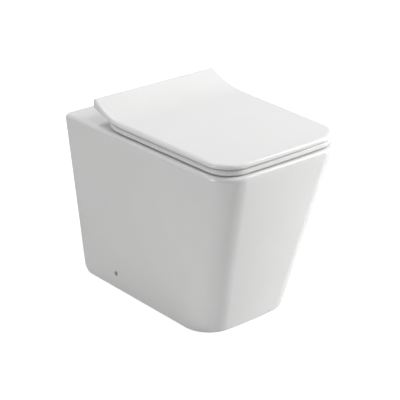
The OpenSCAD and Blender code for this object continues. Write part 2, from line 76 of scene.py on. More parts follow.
# The pan's other edges, its walls and the rounding of the roof inside
BACK_R, RIM_R, HEEL_R, FOOT_R = 4, 11, 22, 1.5
FOOT_STEPS = (0.35, 0.8)
SKIRT_T, DECK_T, ROOF_R = 12, 13, 10

# Bowl: the rim beside and before it, the deck behind it, its wall, lip and sump
RIM_SIDE_W, RIM_FRONT_W, DECK_L = 47, 43, 183
BOWL_T, LIP_R = 11, 6
SUMP_H, SUMP_BACK = 62, 310

# Bowl: powers that shape its plan, its wall's curve and the way its middle moves with depth;
# how near the bottom its rings start; and the points in a ring
BOWL_SQUARE, BOWL_CLOSE, BOWL_FULL, BOWL_LEAN = 0.86, 1.35, 0.6, 0.8
BOWL_START = 0.03
BOWL_N = 128

# Trap: its bore, the weir's height, where the first bend starts and how far its line leads in
# before it, the slope of its climb, its three bends, and the rings over which it widens
TRAP_D, WEIR_H, TRAP_BACK, TRAP_LEAD = 66, 168, 262, 35
CLIMB = math.radians(65)
DIP_R, WEIR_R, FALL_R = 58, 40, 70
TRAP_FLARE_N = 9

# Outlet spigot and flush inlet
OUTLET_H, OUTLET_D, OUTLET_BORE_D, OUTLET_L, OUTLET_BACK = 180, 102, 84, 60, 40
INLET_H, INLET_D, INLET_T, INLET_BACK, INLET_SOCKET_L = 335, 55, 12, 75, 66
JET_D, JET_REACH = 36, 30
SPIGOT_STEP, SPIGOT_LAP, PIPE_LIP = 8, 12, 3

# Seat, the share of the lid's rise that it follows, and the gaps below the seat and the lid
SEAT_INSET, SEAT_T, SEAT_SIDE_W, SEAT_FRONT_W = 8, 11.5, 56, 60
SEAT_EDGE_R, SEAT_LOW_R, SEAT_BACK_R = 4.5, 3, 68
SEAT_SLOPE_W, SEAT_SLOPE_H = 10, 6
SEAT_OPEN_BACK, SEAT_OPEN_SQUARE = 188, 0.8
SEAT_CLIMB = 0.73
SEAT_GAP, LID_GAP = 3, 3
SEAT_Z = RIM_H + SEAT_GAP
LID_Z = SEAT_Z + SEAT_T + LID_GAP

# Lid, and how it rises, thickens and narrows towards its back edge
LID_INSET, LID_T, LID_SKIN, LID_EDGE_R, LID_LOW_R = 5, 10, 4.5, 8, 1.5
LID_HOLLOW_R = 3
LID_BACK, LID_BACK_R = 93, 3
LID_RISE, LID_RAMP, LID_RISE_POWER = 32, 107, 2.1
LID_BACK_EXTRA, LID_EXTRA_POWER, LID_NARROW = 13, 1.3, 0.035

# Hinges; their axis is the frame's own
HINGE = Vector(frame["joints"][0]["pos_m"]) / MM
HINGE_X, HINGE_BACK, BOLT_BACK = 77.5, 105, 135
SEAT_BACK = HINGE_BACK - 1
POST_W, EAR_L, EAR_CAP, EAR_LIP, DAMPER_D = 18, 30, 3, 1.2, 13
LID_EAR_R, SEAT_EAR_R = (DAMPER_D + 6) / 2, (DAMPER_D + 7) / 2
THRUST_T, EAR_GAP = 1.5, 0.5
LID_EAR_X = HINGE_X - POST_W / 2 - EAR_GAP - THRUST_T - EAR_L
SEAT_EAR_X = HINGE_X + POST_W / 2 + EAR_GAP + THRUST_T

# Room round the hinges: the lid's webs and bays, from the hinge axis; the seat's notches beside
# the posts and in front of the bolts; and how far the seat's cut-outs reach
WEB_BACK, WEB_H = 13, 40
BAY_FRONT, BAY_BACK, BAY_LOW, BAY_TOP, BAY_SIDE = 6, 36, 20, 18.5, 3
NOTCH_GAP, NOTCH_FRONT = 1.5, 13
CUT_LOW, CUT_TOP, CUT_BACK, CUT_FRONT = 5, 75, 60, 5

# Posts, pins and deck bolts, and the clearance that they and the flush seal have
DISC_T, STEM_D, STEM_SHOULDER, STEM_TOP = 3, 16, 20, 27
PIN_D, BARREL_D, CAST_R, ARM_INSET = 8, 17, 0.8, 0.4
BOLT_D, BOLT_DROP, BOLT_IN, BOLT_CHAMFER = 8, 48, 17, 0.9
THREAD_PITCH, THREAD_DEPTH, THREAD_RINGS = 1.25, 0.7, 8
FIT = 0.1

# Flush seal: the pipe it takes, its sleeve and flange, its ribs and its inner lips
PIPE_D, SEAL_L, SEAL_FLANGE_T, SEAL_FLANGE_R = 44, 34, 3, 1.2
SEAL_RIBS, RIB_H, RIB_TOP, RIB_FOOT = 4, 1, 1, 2.2
SEAL_LIP_H = 1.8

# Holes through the pan, and how far their mouths flare
DECK_HOLE_D, DECK_HOLE_DEPTH, DECK_HOLE_LIP = 14, 30, 1.5
SIDE_FIX_BACK, SIDE_FIX_H, SIDE_HOLE_D, SIDE_HOLE_LIP = 123, 41, 12, 1

# The two glazes, by their place among a new mesh's materials
FULL_GLAZE, THIN_GLAZE = 0, 1

# Background's fill light, and the floor: its size and height in millimetres, its glow near the
# pan, the share of it that shows in reflections, and where it starts and ends to rise, in metres
WORLD_FILL = 0.04
FLOOR_SIZE, FLOOR_Z = 12000, -0.2
FLOOR_GLOW, FLOOR_MIRRORED = 0.7, 0.3
FLOOR_GLOW_START, FLOOR_GLOW_END = 0.7, 2.5

# Lamps, in metres, degrees and watts: name, azimuth, elevation, size and power
LAMP_AIM = Vector((0, 0, 0.25))
LAMP_DISTANCE = 2.6
BOX, STRIP = (1.3, 1.3), (0.5, 1.2)
LAMPS = (
    ("left_strip", -90, 10, STRIP, 15.3),
    ("low_key", 56, 10, STRIP, 33.5),
    ("high_key", 50, 35, STRIP, 24.0),
    ("front_top", 0, 65, BOX, 13.5),
    ("left_top", -120, 65, BOX, 6.8),
    ("back_top", 180, 65, BOX, 21.5),
)


# Outlines and solids

def mix(a, b, t):
    """The value at share t of the way from a to b."""
    return a + (b - a) * t


def quarter(n):
    """Angles over a quarter turn."""
    return np.linspace(0, math.pi / 2, n)


def round_start(r, n):
    """A quarter round from an end face to the side: pairs of inset and distance from the face."""
    return [(r * (1 - math.sin(a)), r * (1 - math.cos(a))) for a in quarter(n)]


def round_end(r, n):
    """A quarter round from the side to an end face: pairs of inset and distance from the face."""
    return [(r * (1 - math.cos(a)), r * (1 - math.sin(a))) for a in quarter(n)]


def rounded_rod(r, start, end, lip):
    """The profile of a rod with rounded ends."""
    first = [(r - d, start + h) for d, h in round_start(lip, 5)]
    return first + [(r - d, end - h) for d, h in round_end(lip, 5)]


def facing(profile, side):
    """A profile as it is, or mirrored along its axis if side is -1."""
    if side > 0:
        return profile
    return [(r, -h) for r, h in profile[::-1]]


def arc_corner(a, p, b, r, n):
    """The points of the arc of radius r that rounds corner p of the path a-p-b."""
    a, p, b = (np.array(q, float) for q in (a, p, b))
    to_a = (a - p) / np.linalg.norm(a - p)
    to_b = (b - p) / np.linalg.norm(b - p)
    half = math.acos(np.clip(to_a @ to_b, -1, 1)) / 2
    centre = p + (to_a + to_b) / np.linalg.norm(to_a + to_b) * r / math.sin(half)
    start = p + to_a * r / math.tan(half) - centre
    end = p + to_b * r / math.tan(half) - centre
    first = math.atan2(start[1], start[0])
    sweep = (math.atan2(end[1], end[0]) - first + 3 * math.pi) % (2 * math.pi) - math.pi
    angles = [first + sweep * i / n for i in range(n + 1)]
    return [centre + r * np.array((math.cos(t), math.sin(t))) for t in angles]


def half_outline(b, f, back_r, front_r, bow, back_n=6, side_n=24, front_n=24, cross_n=4):
    """The right half of an outline, from the middle of the back to the middle of the front.

    b and f are its back and front corners before they are rounded. The front bows out by bow
    in the middle, and that fades out along the sides.
    """
    back = arc_corner((0, b[1]), b, f, back_r, back_n)
    front = arc_corner(b, f, (0, f[1]), front_r, front_n)
    side = [mix(back[-1], front[0], t) for t in np.linspace(0, 1, side_n + 1)[1:-1]]
    across = np.linspace(0, 1, cross_n + 1)
    first = [np.array((back[0][0] * t, back[0][1])) for t in across[1:-1]]
    last = [np.array((front[-1][0] * t, front[-1][1])) for t in across[-2:0:-1]]
    points = np.array(first + back + side + front + last)
    fade = np.clip(1 - (points[:, 1] - f[1]) / BOW_REACH, 0, 1) ** 2
    points[:, 1] -= bow * fade * np.clip(1 - (points[:, 0] / f[0]) ** 2, 0, 1)
    return points


def whole(half):
    """A whole outline, from its right half, anticlockwise seen from above."""
    left = half * np.array((-1, 1))
    return np.vstack([left, half[::-1]])


def at_height(outline, z):
    """The points of a plan outline, all at height z."""
    return np.column_stack([outline, np.full(len(outline), z)])


def mesh_object(name, verts, faces, coat=FULL_GLAZE):
    """A new object from points in millimetres; coat is the one of its two glazes that it wears."""
    mesh = bpy.data.meshes.new(name)
    mesh.from_pydata((np.asarray(verts) * MM).tolist(), [], faces)
    mesh.update()
    mesh.materials.append(white_glaze)
    mesh.materials.append(dull_glaze)
    for polygon in mesh.polygons:
        polygon.material_index = coat
    obj = bpy.data.objects.new(name, mesh)
    bpy.context.scene.collection.objects.link(obj)
    return obj


def loft(name, rings, closed=False, coat=FULL_GLAZE):
    """A solid skinned over rings; a closed one joins its last ring to its first.

    The rings run anticlockwise seen from the last one. The two ends of an open loft are filled
    with strips.
    """
    n, m = len(rings[0]), len(rings)
    faces = []
    for j in range(m if closed else m - 1):
        k = (j + 1) % m
        for i in range(n):
            faces.append((j * n + i, j * n + (i + 1) % n, k * n + (i + 1) % n, k * n + i))
    if not closed:
        t = (m - 1) * n
        for i in range(n // 2 - 1):
            faces.append((i, n - 1 - i, n - 2 - i, i + 1))
            faces.append((t + i, t + i + 1, t + n - 2 - i, t + n - 1 - i))
    return mesh_object(name, np.vstack(rings), faces, coat)


def turned_rings(profile, centre, axis, n):
    """The rings of points that a profile sweeps round an axis."""
    a = (np.arange(n) + 0.5) * 2 * math.pi / n
    rings = []
    for r, h in profile:
        c, s, w = r * np.cos(a), r * np.sin(a), np.full(n, float(h))
        columns = {"Z": (c, s, w), "Y": (s, w, c), "X": (w, c, s)}[axis]
        rings.append(np.column_stack(columns) + centre)
    return rings


def revolve(name, profile, centre, axis, n=64, coat=FULL_GLAZE):
    """A solid of revolution: profile is (radius, distance along the axis) from one end to the other."""
    rings = turned_rings(profile, centre, axis, n)
    m = len(rings)
    faces = [tuple(range(n - 1, -1, -1)), tuple((m - 1) * n + i for i in range(n))]
    for j in range(m - 1):
        for i in range(n):
            k = (i + 1) % n
            faces.append((j * n + i, j * n + k, (j + 1) * n + k, (j + 1) * n + i))
    return mesh_object(name, np.vstack(rings), faces, coat)


def block(name, lo, hi):
    """A box between two corners."""
    corners = [(x, y, z) for x in (lo[0], hi[0]) for y in (lo[1], hi[1]) for z in (lo[2], hi[2])]
    faces = [(0, 1, 3, 2), (4, 6, 7, 5), (0, 4, 5, 1), (2, 3, 7, 6), (0, 2, 6, 4), (1, 5, 7, 3)]
    return mesh_object(name, corners, faces)


def hull(name, points):
    """The convex hull of some points."""
    bm = bmesh.new()
    for point in points:
        bm.verts.new(point)
    bmesh.ops.convex_hull(bm, input=bm.verts)
    bmesh.ops.delete(bm, geom=[v for v in bm.verts if not v.link_faces], context="VERTS")
    bmesh.ops.recalc_face_normals(bm, faces=bm.faces)
    bm.verts.index_update()
    faces = [[v.index for v in f.verts] for f in bm.faces]
    obj = mesh_object(name, [v.co[:] for v in bm.verts], faces)
    bm.free()
    return obj


def combine(target, other, operation):
    """Applies a boolean to target and removes the other object."""
    modifier = target.modifiers.new("combine", "BOOLEAN")
    modifier.operation = operation
    modifier.solver = "MANIFOLD"
    modifier.object = other
    graph = bpy.context.evaluated_depsgraph_get()
    mesh = bpy.data.meshes.new_from_object(target.evaluated_get(graph))
    target.modifiers.clear()
    old, target.data = target.data, mesh
    bpy.data.meshes.remove(old)
    bpy.data.objects.remove(other)


def cut(target, *cutters):
    """Cuts each of the other objects out of target."""
    for cutter in cutters:
        combine(target, cutter, "DIFFERENCE")


def join(target, *others):
    """Adds the other objects to target."""
    for other in others:
        combine(target, other, "UNION")


# Pan

def pan_half(back, z):
    """Half the pan's width at a distance from the wall and a height."""
    t = z / RIM_H
    wall_w, front_w = mix(BASE_W, PAN_W, t), mix(BASE_FRONT_W, PAN_FRONT_W, t)
    return mix(wall_w, front_w, back / mix(BASE_L, PAN_L, t)) / 2


def pan_ring(z, side_in, back_in, back_r=BACK_R):
    """The pan's plan at height z, drawn in at the sides and front, and at the back."""
    t = z / RIM_H
    bow = mix(BASE_BOW, FRONT_BOW, t)
    length = mix(BASE_L - BASE_BOW, PAN_L - FRONT_BOW, t)
    back = (pan_half(back_in, z) - side_in, WALL_Y - back_in)
    front = (mix(BASE_FRONT_W, PAN_FRONT_W, t) / 2 - side_in, WALL_Y - length + side_in)
    front_r = mix(BASE_FRONT_R, FRONT_R, t) - side_in
    return at_height(whole(half_outline(back, front, back_r, front_r, bow)), z)


def bottom_inset(r, z):
    """How far a bottom edge rounded by r is drawn in at height z."""
    return r - math.sqrt(max(0, r ** 2 - max(0, r - z) ** 2))


def pan_outside():
    """The pan before it is hollowed; its back edge is rounded a third as deep as its rim."""
    side_top = RIM_H - RIM_R
    heights = [HEEL_R * (1 - math.cos(a)) for a in quarter(13)]
    heights += list(np.linspace(HEEL_R, side_top, 18)[1:-1])
    heights += [*FOOT_STEPS, side_top - 2]
    rings = [pan_ring(z, bottom_inset(FOOT_R, z), bottom_inset(HEEL_R, z)) for z in sorted(heights)]
    for a in quarter(10):
        inset = RIM_R * (1 - math.cos(a))
        rings.append(pan_ring(side_top + RIM_R * math.sin(a), inset, inset / 3))
    rings.append(pan_ring(RIM_H, RIM_R + 3, RIM_R / 3 + 3))
    return loft("pan_shell", rings)


def pan_hollow():
    """The space inside the skirt, with its rounded roof, which runs out past the back and the foot."""
    past, corner_r = -30, 1
    roof = RIM_H - DECK_T
    heights = (-2, 0, 60, 150, 250, 330, roof - ROOF_R)
    rings = [pan_ring(z, SKIRT_T, past, corner_r) for z in heights]
    for inset, drop in round_end(ROOF_R, 6)[1:]:
        rings.append(pan_ring(roof - drop, SKIRT_T + inset, past, corner_r))
    return loft("hollow", rings, coat=THIN_GLAZE)


# The bowl's mouth, the distance of its middle from the wall, and the angles of a ring's points
BOWL_HALF_W = pan_half((PAN_L + DECK_L) / 2, RIM_H) - RIM_SIDE_W
BOWL_HALF_L = (PAN_L - DECK_L - RIM_FRONT_W) / 2
BOWL_MID = DECK_L + BOWL_HALF_L
BOWL_ANGLES = math.pi / 2 + (np.arange(BOWL_N) + 0.5) * 2 * math.pi / BOWL_N


def bowl_ring(s, grow):
    """The bowl's ring at share s of its depth, wider by grow."""
    swell = (1 - (1 - s) ** BOWL_CLOSE) ** BOWL_FULL
    c, q = np.cos(BOWL_ANGLES), np.sin(BOWL_ANGLES)
    x = (BOWL_HALF_W * swell + grow) * np.sign(c) * np.abs(c) ** BOWL_SQUARE
    y = (BOWL_HALF_L * swell + grow) * np.sign(q) * np.abs(q) ** BOWL_SQUARE
    middle = WALL_Y - mix(SUMP_BACK, BOWL_MID, s ** BOWL_LEAN)
    z = mix(SUMP_H, RIM_H, s) - grow * (1 - s)
    return np.column_stack([x, y + middle, np.full(BOWL_N, z)])


def bowl_inside():
    """The bowl's hollow, up to its rounded lip and out past the rim."""
    lip_s = 1 - LIP_R / (RIM_H - SUMP_H)
    rings = [bowl_ring(s, 0) for s in lip_s * np.linspace(BOWL_START, 1, 40) ** 2]
    edge = rings[-1]
    out = edge[:, :2] - np.array((0, WALL_Y - BOWL_MID))
    out /= np.linalg.norm(out, axis=1)[:, None]
    for a in quarter(8)[1:]:
        plan = edge[:, :2] + out * LIP_R * (1 - math.cos(a))
        rings.append(at_height(plan, edge[0, 2] + LIP_R * math.sin(a)))
    rings.append(rings[-1] + (0, 0, 5))
    return loft("bowl_inside", rings)


def bowl_outside():
    """The outside of the bowl's wall, up into the deck."""
    shares = np.linspace(BOWL_START, 0.985, 30) ** 2
    return loft("bowl_outside", [bowl_ring(s, BOWL_T) for s in shares], coat=THIN_GLAZE)


def trap_line():
    """The trap's middle line, as (y, z, slope): out of the sump, over the weir, down to the outlet."""
    dip_y, dip_z = WALL_Y - TRAP_BACK, SUMP_H + TRAP_D / 2 + 2
    climb_y = dip_y + DIP_R * math.sin(CLIMB)
    climb_z = dip_z + DIP_R * (1 - math.cos(CLIMB))
    weir_z = WEIR_H + TRAP_D / 2 - WEIR_R
    run = (weir_z + WEIR_R * math.cos(CLIMB) - climb_z) / math.tan(CLIMB)
    weir_y = climb_y + run + WEIR_R * math.sin(CLIMB)
    fall = math.acos((OUTLET_H - weir_z + FALL_R) / (WEIR_R + FALL_R))
    fall_y = weir_y + (WEIR_R + FALL_R) * math.sin(fall)
    fall_z = OUTLET_H + FALL_R
    line = [(dip_y - TRAP_LEAD, dip_z, 0)]
    for b in np.linspace(0, CLIMB, 10):
        line.append((dip_y + DIP_R * math.sin(b), dip_z + DIP_R * (1 - math.cos(b)), b))
    for b in np.linspace(CLIMB, -fall, 20):
        line.append((weir_y - WEIR_R * math.sin(b), weir_z + WEIR_R * math.cos(b), b))
    for b in np.linspace(-fall, 0, 9)[1:-1]:
        line.append((fall_y + FALL_R * math.sin(b), fall_z - FALL_R * math.cos(b), b))
    spigot_y = WALL_Y - OUTLET_BACK - OUTLET_L
    line.append((max(fall_y + 4, spigot_y + SPIGOT_LAP), OUTLET_H, 0))
    return line


def trap(name, grow, end_r, n=64):
    """The trap's bore, or its outside, which widens to the spigot over its last rings."""
    line = trap_line()
    a = math.pi / 2 + (np.arange(n) + 0.5) * 2 * math.pi / n
    rings = []
    for j, (y, z, b) in enumerate(line):
        flare = max(0, j - len(line) + 1 + TRAP_FLARE_N) / TRAP_FLARE_N
        r = mix(TRAP_D / 2 + grow, end_r, flare)
        lean = r * np.sin(a)
        rings.append(np.column_stack([r * np.cos(a), y + lean * math.sin(b), z - lean * math.cos(b)]))
    return loft(name, rings, coat=THIN_GLAZE)


def spigot(bore):
    """The outlet's spigot with a rounded lip, or its bore with a flared mouth."""
    start, end = WALL_Y - OUTLET_BACK - OUTLET_L, WALL_Y - OUTLET_BACK
    lip = round_end(PIPE_LIP, 6)
    if bore:
        r = OUTLET_BORE_D / 2
        profile = [(r, start - 1)] + [(r + d, end - h) for d, h in lip]
        profile.append((r + PIPE_LIP, end + 2))
    else:
        r = OUTLET_D / 2
        profile = [(r - SPIGOT_STEP, start), (r, start + 0.01)] + [(r - d, end - h) for d, h in lip]
    return revolve("spigot", profile, (0, 0, OUTLET_H), "Y", 96, THIN_GLAZE)


def inlet(bore):
    """The flush inlet's boss with a rounded mouth, or its bore, which narrows to the jet."""
    mouth = WALL_Y - INLET_BACK
    back = WALL_Y - DECK_L - 6
    lip = round_end(PIPE_LIP, 6)
    if bore:
        r = INLET_D / 2
        socket = mouth - INLET_SOCKET_L
        profile = [(JET_D / 2, back - JET_REACH), (JET_D / 2, socket), (r, socket)]
        profile += [(r + d, mouth - h) for d, h in lip]
        profile.append((r + PIPE_LIP, mouth + 2))
    else:
        r = INLET_D / 2 + INLET_T
        profile = [(r, back)] + [(r - d, mouth - h) for d, h in lip]
    return revolve("inlet", profile, (0, 0, INLET_H), "Y", 96, THIN_GLAZE)


def flared_hole(name, d, lip, depth, centre, axis, side):
    """A hole's cutter whose mouth flares out in a quarter round; side is +1 or -1 along the axis."""
    r = d / 2
    profile = [(r, -depth)] + [(r + out, -h) for out, h in round_end(lip, 6)] + [(r + lip, 3)]
    return revolve(name, facing(profile, side), centre, axis, 48)


def build_pan():
    """The china pan: skirt, deck, bowl, trap, spigot and flush inlet as one casting."""
    pan = pan_outside()
    hollow = pan_hollow()
    cut(hollow, bowl_outside(), trap("trap_outside", BOWL_T, OUTLET_D / 2 - 1), inlet(False))
    cut(pan, hollow)
    join(pan, spigot(False))
    cut(pan, spigot(True), bowl_inside(), trap("trap_bore", 0, OUTLET_BORE_D / 2 - 1), inlet(True))
    side_x = pan_half(SIDE_FIX_BACK, SIDE_FIX_H)
    for side in (-1, 1):
        top = (side * HINGE_X, WALL_Y - BOLT_BACK, RIM_H)
        cut(pan, flared_hole("deck_hole", DECK_HOLE_D, DECK_HOLE_LIP, DECK_HOLE_DEPTH, top, "Z", 1))
        face = (side * side_x, WALL_Y - SIDE_FIX_BACK, SIDE_FIX_H)
        cut(pan, flared_hole("side_hole", SIDE_HOLE_D, SIDE_HOLE_LIP, 2 * SKIRT_T, face, "X", side))
    return pan


# Lid and seat

def rise(y):
    """How far the lid has climbed at y."""
    climbed = np.maximum(0, y - WALL_Y + LID_BACK + LID_RAMP) / LID_RAMP
    return LID_RISE * climbed ** LID_RISE_POWER


def lid_ring(d, h, deep=1):
    """The lid's plan, drawn in by d, at height h above its lower edge.

    At deep 1 it follows the lower edge, which hangs further down at the raised back.
    """
    back = (pan_half(LID_BACK, RIM_H) - LID_INSET - d, WALL_Y - LID_BACK - d)
    front = (PAN_FRONT_W / 2 - LID_INSET - d, WALL_Y - PAN_L + FRONT_BOW + LID_INSET + d)
    back_r, front_r = max(LID_BACK_R - d, 1), FRONT_R - LID_INSET - d
    plan = whole(half_outline(back, front, back_r, front_r, FRONT_BOW, side_n=60))
    up = rise(plan[:, 1])
    share = up / LID_RISE
    drop = deep * LID_BACK_EXTRA * share ** LID_EXTRA_POWER
    return np.column_stack([plan[:, 0] * (1 - LID_NARROW * share), plan[:, 1], LID_Z + h + up - drop])


def lid_outside():
    """The lid before it is hollowed."""
    rings = [lid_ring(LID_LOW_R + 2, 0)]
    rings += [lid_ring(d, h) for d, h in round_start(LID_LOW_R, 6)]
    rings += [lid_ring(0, mix(LID_LOW_R, LID_T - LID_EDGE_R, t), 1 - t) for t in (0.3, 0.7)]
    rings += [lid_ring(d, LID_T - h, 0) for d, h in round_end(LID_EDGE_R, 10)]
    rings.append(lid_ring(LID_EDGE_R + 3, LID_T, 0))
    return loft("lid_shell", rings)


def lid_hollow():
    """The space under the lid's skin."""
    wall, roof = LID_SKIN + 1, LID_T - LID_SKIN
    rings = [lid_ring(wall - 1, -4), lid_ring(wall - 1, 0), lid_ring(wall, 1)]
    rings += [lid_ring(wall + d, roof - h, 0) for d, h in round_end(LID_HOLLOW_R, 6)]
    return loft("lid_hollow", rings)


def ear(name, side, x, r):
    """An ear's barrel with rounded ends, from x to x + EAR_L on one side."""
    profile = [(q, x + h) for q, h in rounded_rod(r, 0, EAR_L, EAR_LIP)]
    return revolve(name, facing(profile, side), (0, HINGE.y, HINGE.z), "X")


def ear_bore(side, x, length):
    """The bore that holds a damper or a bush."""
    profile = [(DAMPER_D / 2, x), (DAMPER_D / 2, x + length)]
    return revolve("ear_bore", facing(profile, side), (0, HINGE.y, HINGE.z), "X")


def lid_web(side):
    """What stays in the lid's hollow to carry an ear."""
    x0, x1 = sorted((side * LID_EAR_X, side * (LID_EAR_X + EAR_L)))
    low, high = (x0, HINGE.y - LID_EAR_R, HINGE.z), (x1, HINGE.y + WEB_BACK, HINGE.z + WEB_H)
    return block("ear_web", low, high)


def lid_bay(side):
    """The room in the lid for a post and for the seat's ear."""
    x0, x1 = sorted((side * (LID_EAR_X + EAR_L), side * (SEAT_EAR_X + EAR_L + BAY_SIDE)))
    low, high = (x0, HINGE.y + BAY_FRONT, HINGE.z - BAY_LOW), (x1, HINGE.y + BAY_BACK, HINGE.z + BAY_TOP)
    return block("bay", low, high)


def build_lid():
    """The lid: a hollow moulding with an ear at each hinge."""
    lid, hollow = lid_outside(), lid_hollow()
    cut(hollow, lid_web(-1), lid_web(1))
    cut(lid, hollow)
    for side in (-1, 1):
        join(lid, ear("lid_ear", side, LID_EAR_X, LID_EAR_R))
        cut(lid, lid_bay(side), ear_bore(side, LID_EAR_X + EAR_CAP, EAR_L))
    return lid


def seat_outer(d):
    """The right half of the seat's outline, drawn in by d."""
    back = (pan_half(SEAT_BACK, RIM_H) - SEAT_INSET - d, WALL_Y - SEAT_BACK - d)
    front = (PAN_FRONT_W / 2 - SEAT_INSET - d, WALL_Y - PAN_L + FRONT_BOW + SEAT_INSET + d)
    back_r, front_r = SEAT_BACK_R - d, FRONT_R - SEAT_INSET - d
    return half_outline(back, front, back_r, front_r, FRONT_BOW, back_n=16, side_n=44, cross_n=6)


def seat_opening(d, n):
    """The seat's opening, widened by d, with n points on its right half."""
    half_l = (PAN_L - SEAT_INSET - SEAT_FRONT_W - SEAT_OPEN_BACK) / 2
    half_w = pan_half(SEAT_OPEN_BACK + half_l, RIM_H) - SEAT_INSET - SEAT_SIDE_W
    a = math.pi / 2 - (np.arange(n) + 0.5) * math.pi / n
    c, q = np.cos(a), np.sin(a)
    x = (half_w + d) * c ** SEAT_OPEN_SQUARE
    y = (half_l + d) * np.sign(q) * np.abs(q) ** SEAT_OPEN_SQUARE
    return np.column_stack([x, WALL_Y - SEAT_OPEN_BACK - half_l + y])


def seat_ring(half, h):
    """A whole ring of the seat from its right half, at height h above the seat's underside."""
    plan = whole(half)
    return np.column_stack([plan, SEAT_Z + h + SEAT_CLIMB * rise(plan[:, 1])])


def seat_body():
    """The seat's ring: round its outer side, in over the top, down the slope and back below."""
    n = len(seat_outer(0))
    across = np.linspace(0, 1, 9)
    top_out, top_in = seat_outer(SEAT_EDGE_R), seat_opening(SEAT_SLOPE_W, n)
    low_out, low_in = seat_outer(SEAT_LOW_R), seat_opening(SEAT_LOW_R, n)
    rings = [seat_ring(seat_outer(d), h) for d, h in round_start(SEAT_LOW_R, 5)]
    rings += [seat_ring(seat_outer(d), SEAT_T - h) for d, h in round_end(SEAT_EDGE_R, 8)]
    rings += [seat_ring(mix(top_out, top_in, t), SEAT_T) for t in across[1:]]
    for a in quarter(12)[1:]:
        slope = seat_opening(SEAT_SLOPE_W * (1 - math.sin(a)), n)
        rings.append(seat_ring(slope, SEAT_T - SEAT_SLOPE_H * (1 - math.cos(a))))
    rings += [seat_ring(seat_opening(d, n), h) for d, h in round_end(SEAT_LOW_R, 5)]
    rings += [seat_ring(mix(low_in, low_out, t), 0) for t in across[1:-1]]
    return loft("seat_ring", rings, closed=True)


def build_seat():
    """The seat: its ring, cut away between and at the hinges, with an ear outside each post."""
    seat = seat_body()
    low, high = SEAT_Z - CUT_LOW, SEAT_Z + CUT_TOP
    notch_x = HINGE_X - POST_W / 2 - NOTCH_GAP
    front = HINGE.y - LID_EAR_R - CUT_FRONT
    middle = (-notch_x - 1, front, low), (notch_x + 1, HINGE.y + CUT_BACK, high)
    cut(seat, block("middle", *middle))
    slot_front = WALL_Y - BOLT_BACK - NOTCH_FRONT
    for side in (-1, 1):
        x0, x1 = sorted((side * notch_x, side * SEAT_EAR_X))
        cut(seat, block("slot", (x0, slot_front, low), (x1, slot_front + CUT_BACK, high)))
        join(seat, ear("seat_ear", side, SEAT_EAR_X, SEAT_EAR_R))
        cut(seat, ear_bore(side, SEAT_EAR_X - 1, EAR_L - EAR_CAP + 1))
    return seat


# Hinge posts, bolts and flush seal

def hinge_post(side):
    """A cast post: a round stem over its bolt, which sweeps back to the barrel round the pin."""
    stem_at = (side * HINGE_X, WALL_Y - BOLT_BACK, RIM_H)
    barrel_at = (side * HINGE_X, HINGE.y, HINGE.z)
    half, r = POST_W / 2, STEM_D / 2
    shoulder = rounded_rod(r - ARM_INSET, STEM_SHOULDER - 1, STEM_TOP, CAST_R)
    barrel = rounded_rod(BARREL_D / 2, -half, half, CAST_R)
    arm = turned_rings(shoulder, stem_at, "Z", 64) + turned_rings(barrel, barrel_at, "X", 64)
    stem = [(r, DISC_T), (r, STEM_SHOULDER + 0.5), (r - 0.3, STEM_SHOULDER + 0.8)]
    pin_r, bolt_r = PIN_D / 2 + FIT, BOLT_D / 2 + FIT
    post = revolve("hinge_post", stem, stem_at, "Z")
    join(post, hull("arm", np.vstack(arm)))
    cut(post, revolve("pin_bore", [(pin_r, -half - 1), (pin_r, half + 1)], barrel_at, "X"))
    cut(post, revolve("bolt_bore", [(bolt_r, 0), (bolt_r, BOLT_IN + 1)], stem_at, "Z"))
    return post


def deck_bolt(side, n=24):
    """A bolt with a rolled thread, its lower end chamfered."""
    bottom, top = RIM_H - BOLT_DROP, RIM_H + BOLT_IN
    around = (np.arange(n) + 0.5) / n
    angles = math.pi / 2 + around * 2 * math.pi
    steps = round((top - bottom) / THREAD_PITCH * THREAD_RINGS)
    rings = []
    for z in np.linspace(bottom, top, steps + 1):
        wave = np.abs(2 * ((z / THREAD_PITCH - around) % 1) - 1)
        groove = np.clip(1.5 * wave - 0.25, 0, 1)
        chamfer = BOLT_D / 2 - BOLT_CHAMFER + z - bottom
        radius = np.minimum(BOLT_D / 2 - THREAD_DEPTH * groove, chamfer)
        x = side * HINGE_X + radius * np.cos(angles)
        y = WALL_Y - BOLT_BACK + radius * np.sin(angles)
        rings.append(at_height(np.column_stack([x, y]), z))
    return loft("threaded_bolt", rings)


def flush_seal():
    """The flush inlet's seal: a flanged sleeve with ribs outside and flexible lips inside."""
    mouth = WALL_Y - INLET_BACK
    start, end = mouth - SEAL_L, mouth + SEAL_FLANGE_T
    r, flange_r, pipe_r = INLET_D / 2 - FIT, (INLET_D + INLET_T) / 2, PIPE_D / 2
    lip_r = pipe_r + SEAL_LIP_H
    pitch = SEAL_L / (SEAL_RIBS + 0.5)
    outside = [(r - 2, start), (r - 0.6, start + 1)]
    inside = [(pipe_r + 2, start - 1), (pipe_r + 2, start + 1)]
    for k in range(SEAL_RIBS):
        y = start + (k + 0.5) * pitch
        outside += [(r - RIB_H, y - RIB_FOOT), (r, y - RIB_TOP)]
        outside += [(r, y + RIB_TOP), (r - RIB_H, y + RIB_FOOT)]
        inside += [(lip_r, y - 2.5), (pipe_r, y - 0.5), (pipe_r, y + 0.5), (lip_r, y + 1)]
    outside += [(r, mouth - 1), (r, mouth - 0.01), (flange_r - 0.5, mouth), (flange_r, mouth + 0.8)]
    outside += [(flange_r - d, end - h) for d, h in round_end(SEAL_FLANGE_R, 5)]
    inside += [(lip_r, mouth - 1), (pipe_r + 3, end - 1), (pipe_r + 4, end + 1)]
    seal = revolve("flush_seal", outside, (0, 0, INLET_H), "Y", 96)
    cut(seal, revolve("seal_bore", inside, (0, 0, INLET_H), "Y", 96))
    return seal


# Materials

